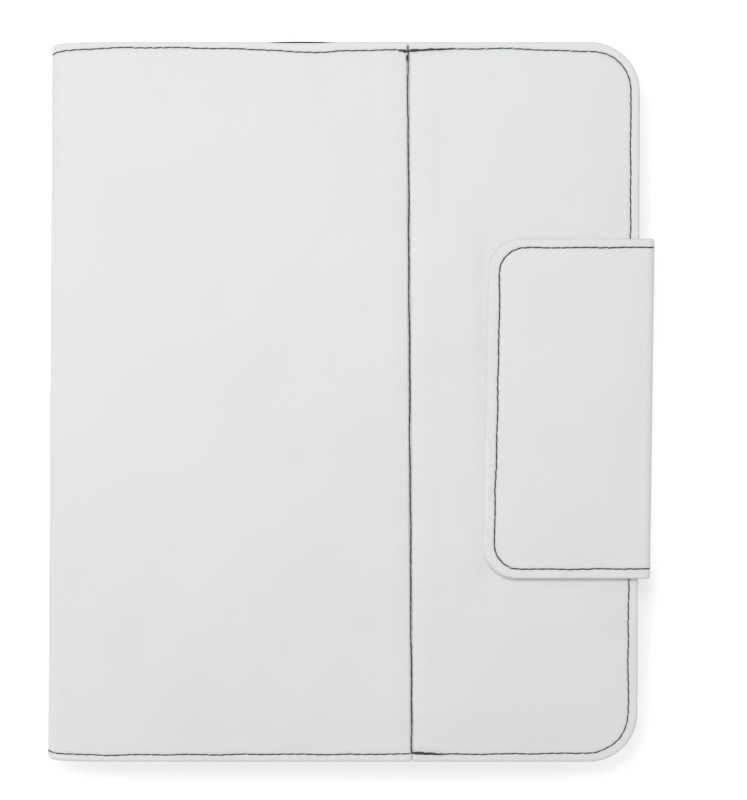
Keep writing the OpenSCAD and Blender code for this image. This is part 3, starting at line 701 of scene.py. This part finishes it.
def folded_strip(name, path, thick, half, material, y_mid=0.0, askew=lean):
    """A thin strip that follows a path of (x, z) across and runs straight along y."""
    path = np.array(path, float)
    ahead = np.gradient(path, axis=0)
    ahead /= np.linalg.norm(ahead, axis=1)[:, None]
    out = np.stack([-ahead[:, 1], ahead[:, 0]], 1) * thick / 2
    loop = np.concatenate([path + out, (path - out)[::-1]])
    ys = np.linspace(-half, half, int(half / 3) + 2)
    n, rows = len(loop), len(ys)
    x = np.tile(loop[:, 0], rows)
    z = np.tile(loop[:, 1], rows)
    y = np.repeat(ys, n) + y_mid
    points = np.stack([x + askew(x, y), y, z], 1) * MM
    index = np.arange(n * rows).reshape(rows, n)
    after = np.roll(index, -1, axis=1)
    faces = np.stack([index[:-1], after[:-1], after[1:], index[1:]], -1).reshape(-1, 4)
    half_n = n // 2
    caps = [[row[i], row[i + 1], row[n - 2 - i], row[n - 1 - i]]
            for row in (index[0], index[-1]) for i in range(half_n - 1)]
    return closed_mesh(name, points, np.concatenate([faces, np.array(caps)]), material)


def curve_path(corners):
    """A path of (x, z) with its corners cut three times over, so that it runs smoothly."""
    corners = np.array(corners, float)
    for rounds in range(3):
        low = corners[:-1] * 0.75 + corners[1:] * 0.25
        high = corners[:-1] * 0.25 + corners[1:] * 0.75
        between = np.stack([low, high], 1).reshape(-1, 2)
        corners = np.concatenate([corners[:1], between, corners[-1:]])
    return corners


z_web = z_cover_top - 0.48
web_t = 0.5
web = folded_strip("seam_web", curve_path([
    (x_seam - 0.75, z_web - 0.5), (x_seam - 0.3, z_web - 0.3), (x_seam, z_web - 0.25),
    (x_seam + 0.3, z_web - 0.3), (x_seam + 0.75, z_web - 0.5)]),
    web_t, half_case - 0.45, white_leather, y_mid=0.15)
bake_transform(web)

seam_y = np.linspace(-half_case + 2.5, half_case - 1.3, 500)
seam_x = x_seam - 0.12 + 0.10 * np.sin(seam_y / 9.0) + 0.07 * np.sin(seam_y / 3.7 + 1)
seam_z = np.full(500, z_web + 0.16)
seam_line = np.stack([seam_x + lean(seam_x, seam_y), seam_y, seam_z], 1) * MM
seam_up = np.tile([0.0, 0.0, 1.0], (500, 1))
heavy, shader = grained("heavy_thread", (0.012, 0.017, 0.019), (0.020, 0.027, 0.029), 0.6, 5.0,
                        0.05)
shader.inputs["Sheen Weight"].default_value = 0.2
seam_stitches = thread_mesh("seam_stitching", [(seam_line, seam_up)], heavy, thick=0.20,
                            overlap=0.2, slant=0.04)
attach(seam_stitches, "cover")

# Both ends of the row are locked by sewing back over them, with a knot at the far end


def tack_line(side, start, end, shift, lift=0.12):
    """One pass of the locking stitches, on the row that closes the cover's border."""
    x = x_seam + np.linspace(start, end, 60)
    near_fold = wide_sheet if end < 0 else narrow_sheet
    drift = 0.4 - 0.55 * (x - x[0]) / 14 if end > 0 else 0.3
    y = side * (half_case - near_fold.row_inset(x, side + 0 * x) - shift - drift
                - 0.05 * np.sin(x * 1.7))
    face = wide_face if end < 0 else narrow_face
    at, over = (lay(x, y, face(x, y) + height, z_out=z_cover_top, rolled=False)
                for height in (lift, lift + 1))
    return at, (over - at) / MM


stand_tacks = thread_mesh("stand_lock_stitching", [
    tack_line(1, 0.2, 15.8, 0.0), tack_line(1, 0.2, 13.6, 0.12, 0.28),
    tack_line(1, 0.2, 8.6, -0.10, 0.2), tack_line(-1, -0.6, 10.9, 0.0),
    tack_line(-1, 0.2, 8.6, 0.14, 0.28), tack_line(-1, 9.9, 10.9, -0.2, 0.3)],
    heavy, thick=0.23, overlap=0.2, slant=0.04)
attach(stand_tacks, "stand")
knot_line = np.stack([x_seam - np.array([0.15, 0.35, 0.45, 0.3, 0.1]),
                      np.array([119.9, 119.3, 118.7, 118.3, 117.6]),
                      z_web + np.array([0.25, 0.5, 0.55, 0.45, 0.2])], 1)
knot_line[:, 0] += lean(knot_line[:, 0], knot_line[:, 1])
cover_tacks = thread_mesh("cover_lock_stitching", [
    tack_line(1, -3.3, -0.2, 0.05), tack_line(1, -1.8, -0.2, 0.25, 0.3),
    (knot_line * MM, np.tile([0.0, 0.0, 1.0], (5, 1)))], heavy, thick=0.23)
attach(cover_tacks, "cover")

# ---------------------------------------------------------------------------
# The closing strap: it is glued into the base, stands up along the free edge
# and ends in a tongue that lies on the cover. One piece of leather runs round
# each fold; the border of the tongue is sewn with the same thread.
# ---------------------------------------------------------------------------
z_top = cad_high[2] / MM
strap_r = 1.7
strap_start = x_spine + strap_r
strap_quarter = strap_r * math.pi / 2
strap_side = z_split - strap_r
sewn_in = 3  # how far the strap reaches in under the base's skin
lower_strap = Sheet(strap_start - strap_quarter - strap_side, -(x_free - sewn_in), strap_half,
                    0.6, 1.5, fine=(strap_side - 2, strap_side + strap_quarter + 4),
                    free_end=False)


def strap_lean(x, y):
    """The strap was closed a little askew too, and by more than the cover."""
    return np.interp(x, [x_tongue, -x_spine], [2.3, 1.66]) * y / half_case


def tucked(x):
    """From 0 to 1 where the strap's skin goes in between the base's skin and its lining."""
    return smooth(x, strap_start + 0.4, -x_free - 0.2)


def lower_strap_face(x, y):
    """Outer face of the strap's lower half, which dips in under the base's skin."""
    d = lower_strap.border(x, y)[0]
    return -skin_t * tucked(x) - rounded_rim(d, 0.6)


def lower_strap_back(x, y):
    """Inner face of the strap's lower half, with a pocket for the board on its side."""
    d = lower_strap.border(x, y)[0]
    side = smooth(strap_start - x, strap_quarter + 0.4, strap_quarter + 1.4)
    edge = 1 - smooth(d, turned_edge, turned_edge + 0.2)
    inside = tucked(x)
    return -(skin_t + inside + (edge * side * (panel_t - skin_t))
             + 0.4 * edge * (1 - side) * (1 - inside))


strap = panel("strap_leather", lower_strap, lower_strap_face, lower_strap_back, white_leather,
              z_out=0.0, up=-1, mirrored=True, y_mid=strap_y, r=strap_r)
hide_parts("strap_anchor")
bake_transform(strap)

tongue_side = z_top - strap_r - z_split


def tongue_stray(x, y):
    """The row keeps further from the tongue's near side than from its end and its far side."""
    at_end = 1 - smooth(-x_tongue - x, 3.6, 15)
    return 0.8 * at_end + 0.12 * np.sin((y + 12) / 17) + (
        0.45 * smooth(-y, 30, 50) + 0.15 * smooth(y, 30, 50)) * (1 - at_end)


tongue_r = 11.5
tongue_sheet = Sheet(strap_start - strap_quarter - tongue_side, -x_tongue + 0.4,
                     strap_half, tongue_r, 1.0, row_in=3.0, stray=tongue_stray,
                     fine=(tongue_side - 2, tongue_side + strap_quarter + 1))
tongue_laid = dict(z_out=z_top, mirrored=True, y_mid=strap_y, r=strap_r)


def tongue_face(x, y):
    """Outer face of the tongue: a little soft in the middle, smooth on the strap's side."""
    d, relief = sewn_edge(tongue_sheet, x, y)
    soft = 0.16 * smooth(d, 3.2, 14) + uneven(x + 31, y + 57, 0.09) * smooth(d, 1, 8)
    sewn = smooth(x, strap_start - strap_quarter, strap_start)
    return sewn * relief - rounded_rim(d) + soft * smooth(x, x_spine, x_spine + 10)


tongue = panel("tongue_leather", tongue_sheet, tongue_face,
               hollow(tongue_sheet, panel_t, skin_t, start=strap_start, r=strap_r,
                      round_under=1.2), white_leather, **tongue_laid)
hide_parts("tongue_skin", "strap_skin")
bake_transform(tongue)
tongue_stitches = thread_mesh("tongue_stitching", [
    on_face(tongue_sheet, tongue_face, from_x=strap_start - 1.9, **tongue_laid)], thread,
    thick=0.22, overlap=0.2, slant=0.09)
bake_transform(tongue_stitches)

# ---------------------------------------------------------------------------
# Black lining: a short-napped microfibre, glued over the boards. Strips of it
# bridge the folds on the inside, where the case bends.
# ---------------------------------------------------------------------------
black_lining, shader = grained("black_lining", (0.010, 0.010, 0.011), (0.017, 0.017, 0.018),
                               0.9, 3.5, 0.06)
shader.inputs["Sheen Weight"].default_value = 0.35
shader.inputs["Sheen Roughness"].default_value = 0.5


def dress(material, *names):
    """Give CAD nodes of the right shape their finish."""
    for name in names:
        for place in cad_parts[name].material_slots:
            place.material = material


dress(black_lining, "base_lining", "spine_lining", "cover_lining", "stand_lining",
      "strap_lining", "tongue_lining")
z_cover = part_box("cover_lining")[0].z / MM
fold_lining = 0.3
in_spine = x_spine + 3.2
in_strap = -in_spine
strips = [
    ("lower_spine_lining", [(in_spine + 4.6, 3.2), (in_spine + 1.4, 3.2), (in_spine, 3.6),
                            (in_spine - 0.05, 7.5)], half_case - 1.35,
     "base", "spine", (in_spine + 1.2, 3.2), (in_spine, 5.4)),
    ("upper_spine_lining", [(in_spine + 4.6, 23.06), (in_spine + 1.4, 23.06), (in_spine, 22.6),
                            (in_spine - 0.05, 18.5)], half_case - 1.35,
     "spine", "cover", (in_spine, 21.0), (in_spine + 1.2, 23.1)),
    ("lower_strap_lining", [(in_strap - 2.2, 3.05), (in_strap - 1.2, 3.1), (in_strap - 0.05, 3.6),
                            (in_strap, 7.0)], strap_half - 1.4,
     "base", "strap", (in_strap - 1.4, 3.1), (in_strap, 5.0)),
    ("upper_strap_lining", [(in_strap - 3.2, 26.8), (in_strap - 1.2, 26.75),
                            (in_strap - 0.05, 26.3), (in_strap, 22.5)], strap_half - 1.4,
     "strap", "tongue", (in_strap, 25.0), (in_strap - 1.4, 26.8)),
    ("seam_lining", [(x_wide - 2.6, z_cover - 0.14), (x_wide, z_cover - 0.12),
                     (x_seam, z_cover + 0.25), (x_narrow, z_cover - 0.12),
                     (x_narrow + 2.6, z_cover - 0.14)], half_case - 0.9,
     "cover", "stand", (x_wide, z_cover), (x_narrow, z_cover)),
]
for name, corners, half, body_a, body_b, start, end in strips:
    thick = 0.2 if name == "seam_lining" else fold_lining
    on_strap = "strap" in name
    strip = folded_strip(name, curve_path(corners), thick, half, black_lining,
                         strap_y if on_strap else 0.0, (lambda x, y: 0 * x) if on_strap else lean)
    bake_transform(strip)

# Where the cover was closed over its lining, a sliver of the black shows at the far edge
sliver_x = np.linspace(x_spine + 69, x_spine + 106, 60)
bulge = np.sin(math.pi * (sliver_x - sliver_x[0]) / 37) ** 0.8
out_edge = half_case - 0.15 + 0.45 * bulge
rim_points = [(out_edge - 1.6, z_cover + 0.05), (out_edge - 0.1, z_cover + 0.05),
              (out_edge, z_cover + 0.2), (out_edge - 0.02, z_cover + 0.75),
              (out_edge - 0.2, z_cover + 0.95), (out_edge - 1.6, z_cover + 0.95)]
sliver = np.concatenate([np.stack([sliver_x + lean(sliver_x, y), y, z + 0 * y], 1)
                         for y, z in rim_points]) * MM
rows = np.arange(6 * 60).reshape(6, 60)
after = np.roll(rows, -1, axis=0)
sliver_sides = np.stack([rows[:, :-1], rows[:, 1:], after[:, 1:], after[:, :-1]], -1)
ends = np.array([[row[0], row[1], row[4], row[5]] for row in (rows[:, 0], rows[:, -1])]
                + [[row[1], row[2], row[3], row[4]] for row in (rows[:, 0], rows[:, -1])])
edge_lining = closed_mesh("edge_lining", sliver,
                          np.concatenate([sliver_sides.reshape(-1, 4), ends]), black_lining)
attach(edge_lining, "cover")

# ---------------------------------------------------------------------------
# Boards inside the panels: grey wood-pulp board, punched to shape, with a
# rough cut edge. The skins and linings are glued to them.
# ---------------------------------------------------------------------------
greyboard, shader = grained("greyboard", (0.30, 0.27, 0.21), (0.38, 0.34, 0.27), 0.95, 1.2, 0.12)
dress(greyboard, "base_board", "spine_board", "cover_board", "stand_board", "strap_board",
      "tongue_board")

# ---------------------------------------------------------------------------
# The tablet's tray: black polycarbonate, moulded in one piece with a spark
# finish outside, four corner lips and openings for lead, buttons and plug.
# Foam tape holds it to the cover, and four foam pads keep the tablet off it.
# ---------------------------------------------------------------------------
black_plastic, shader = grained("black_plastic", (0.014, 0.014, 0.015), (0.022, 0.022, 0.023),
                                0.50, 2.6, 0.030, 0.12)
foam, shader = grained("foam", (0.03, 0.03, 0.03), (0.05, 0.05, 0.05), 1.0, 2.5, 0.25)
dress(black_plastic, "tablet_tray")
dress(foam, "tray_adhesive", "tray_pads")

# ---------------------------------------------------------------------------
# The keyboard's housing, of the tray's plastic: a shallow lower half on the
# base's lining and a face with one hole for each key, clipped over it.
# ---------------------------------------------------------------------------
dress(black_plastic, "keyboard_bottom_case", "keyboard_top_case")

# ---------------------------------------------------------------------------
# Keys and controls: seventy-three caps of smooth, lightly dished black
# plastic, with the slide switch and the round button in the rear bar.
# ---------------------------------------------------------------------------
key_plastic, shader = grained("key_plastic", (0.008, 0.008, 0.009), (0.013, 0.013, 0.014),
                              0.38, 4.5, 0.008, 0.14)
shader.inputs["Specular IOR Level"].default_value = 0.45
dress(key_plastic, "function_keys", "number_keys", "upper_keys", "home_keys", "lower_keys",
      "bottom_keys", "space_bar", "power_switch", "connect_button")

# ---------------------------------------------------------------------------
# Under the keys: a steel plate, a clear film with printed contacts and a
# grey rubber sheet with one dome for each key, laid on each other.
# ---------------------------------------------------------------------------


def metal(name, dark, light, rough, grains, depth):
    """A metal with a fine rolled grain and a little tarnish."""
    material, shader = grained(name, dark, light, rough, grains, depth, 0.15)
    shader.inputs["Metallic"].default_value = 1.0
    return material


plate_steel = metal("plate_steel", (0.42, 0.42, 0.43), (0.55, 0.55, 0.56), 0.38, 6.0, 0.006)
dress(plate_steel, "key_plate")
film, shader = grained("membrane_film", (0.48, 0.54, 0.46), (0.56, 0.61, 0.53), 0.22, 2.0, 0.003)
shader.inputs["Coat Weight"].default_value = 0.4
dress(film, "membrane")
dome_rubber, shader = grained("dome_rubber", (0.20, 0.20, 0.21), (0.26, 0.26, 0.27), 0.7, 3.0,
                              0.01)
dress(dome_rubber, "dome_sheet")

# ---------------------------------------------------------------------------
# Electronics in the rear bar: a green circuit board with its charging
# socket, a foil cell beside it, and three clear lenses over the lamps.
# ---------------------------------------------------------------------------
laminate, shader = grained("circuit_laminate", (0.010, 0.085, 0.035), (0.016, 0.12, 0.05),
                           0.35, 3.0, 0.01)
dress(laminate, "circuit_board")
dress(metal("socket_steel", (0.55, 0.55, 0.54), (0.66, 0.66, 0.65), 0.25, 5.0, 0.004),
      "charging_socket")
dress(metal("battery_foil", (0.62, 0.62, 0.64), (0.74, 0.74, 0.76), 0.33, 1.5, 0.03),
      "battery_cell")
lens, shader = grained("clear_lens", (0.62, 0.75, 0.68), (0.68, 0.80, 0.73), 0.12, 3.0, 0.002)
shader.inputs["Transmission Weight"].default_value = 0.6
shader.inputs["IOR"].default_value = 1.49
dress(lens, "indicator_lenses")

# ---------------------------------------------------------------------------
# The closure: two nickel-plated magnets in the tongue, and two steel plates
# under the narrow panel's skin for them to pull at.
# ---------------------------------------------------------------------------
dress(metal("magnet_nickel", (0.50, 0.49, 0.47), (0.60, 0.59, 0.57), 0.22, 5.0, 0.003),
      "tongue_magnets")
dress(plate_steel, "catch_plates")
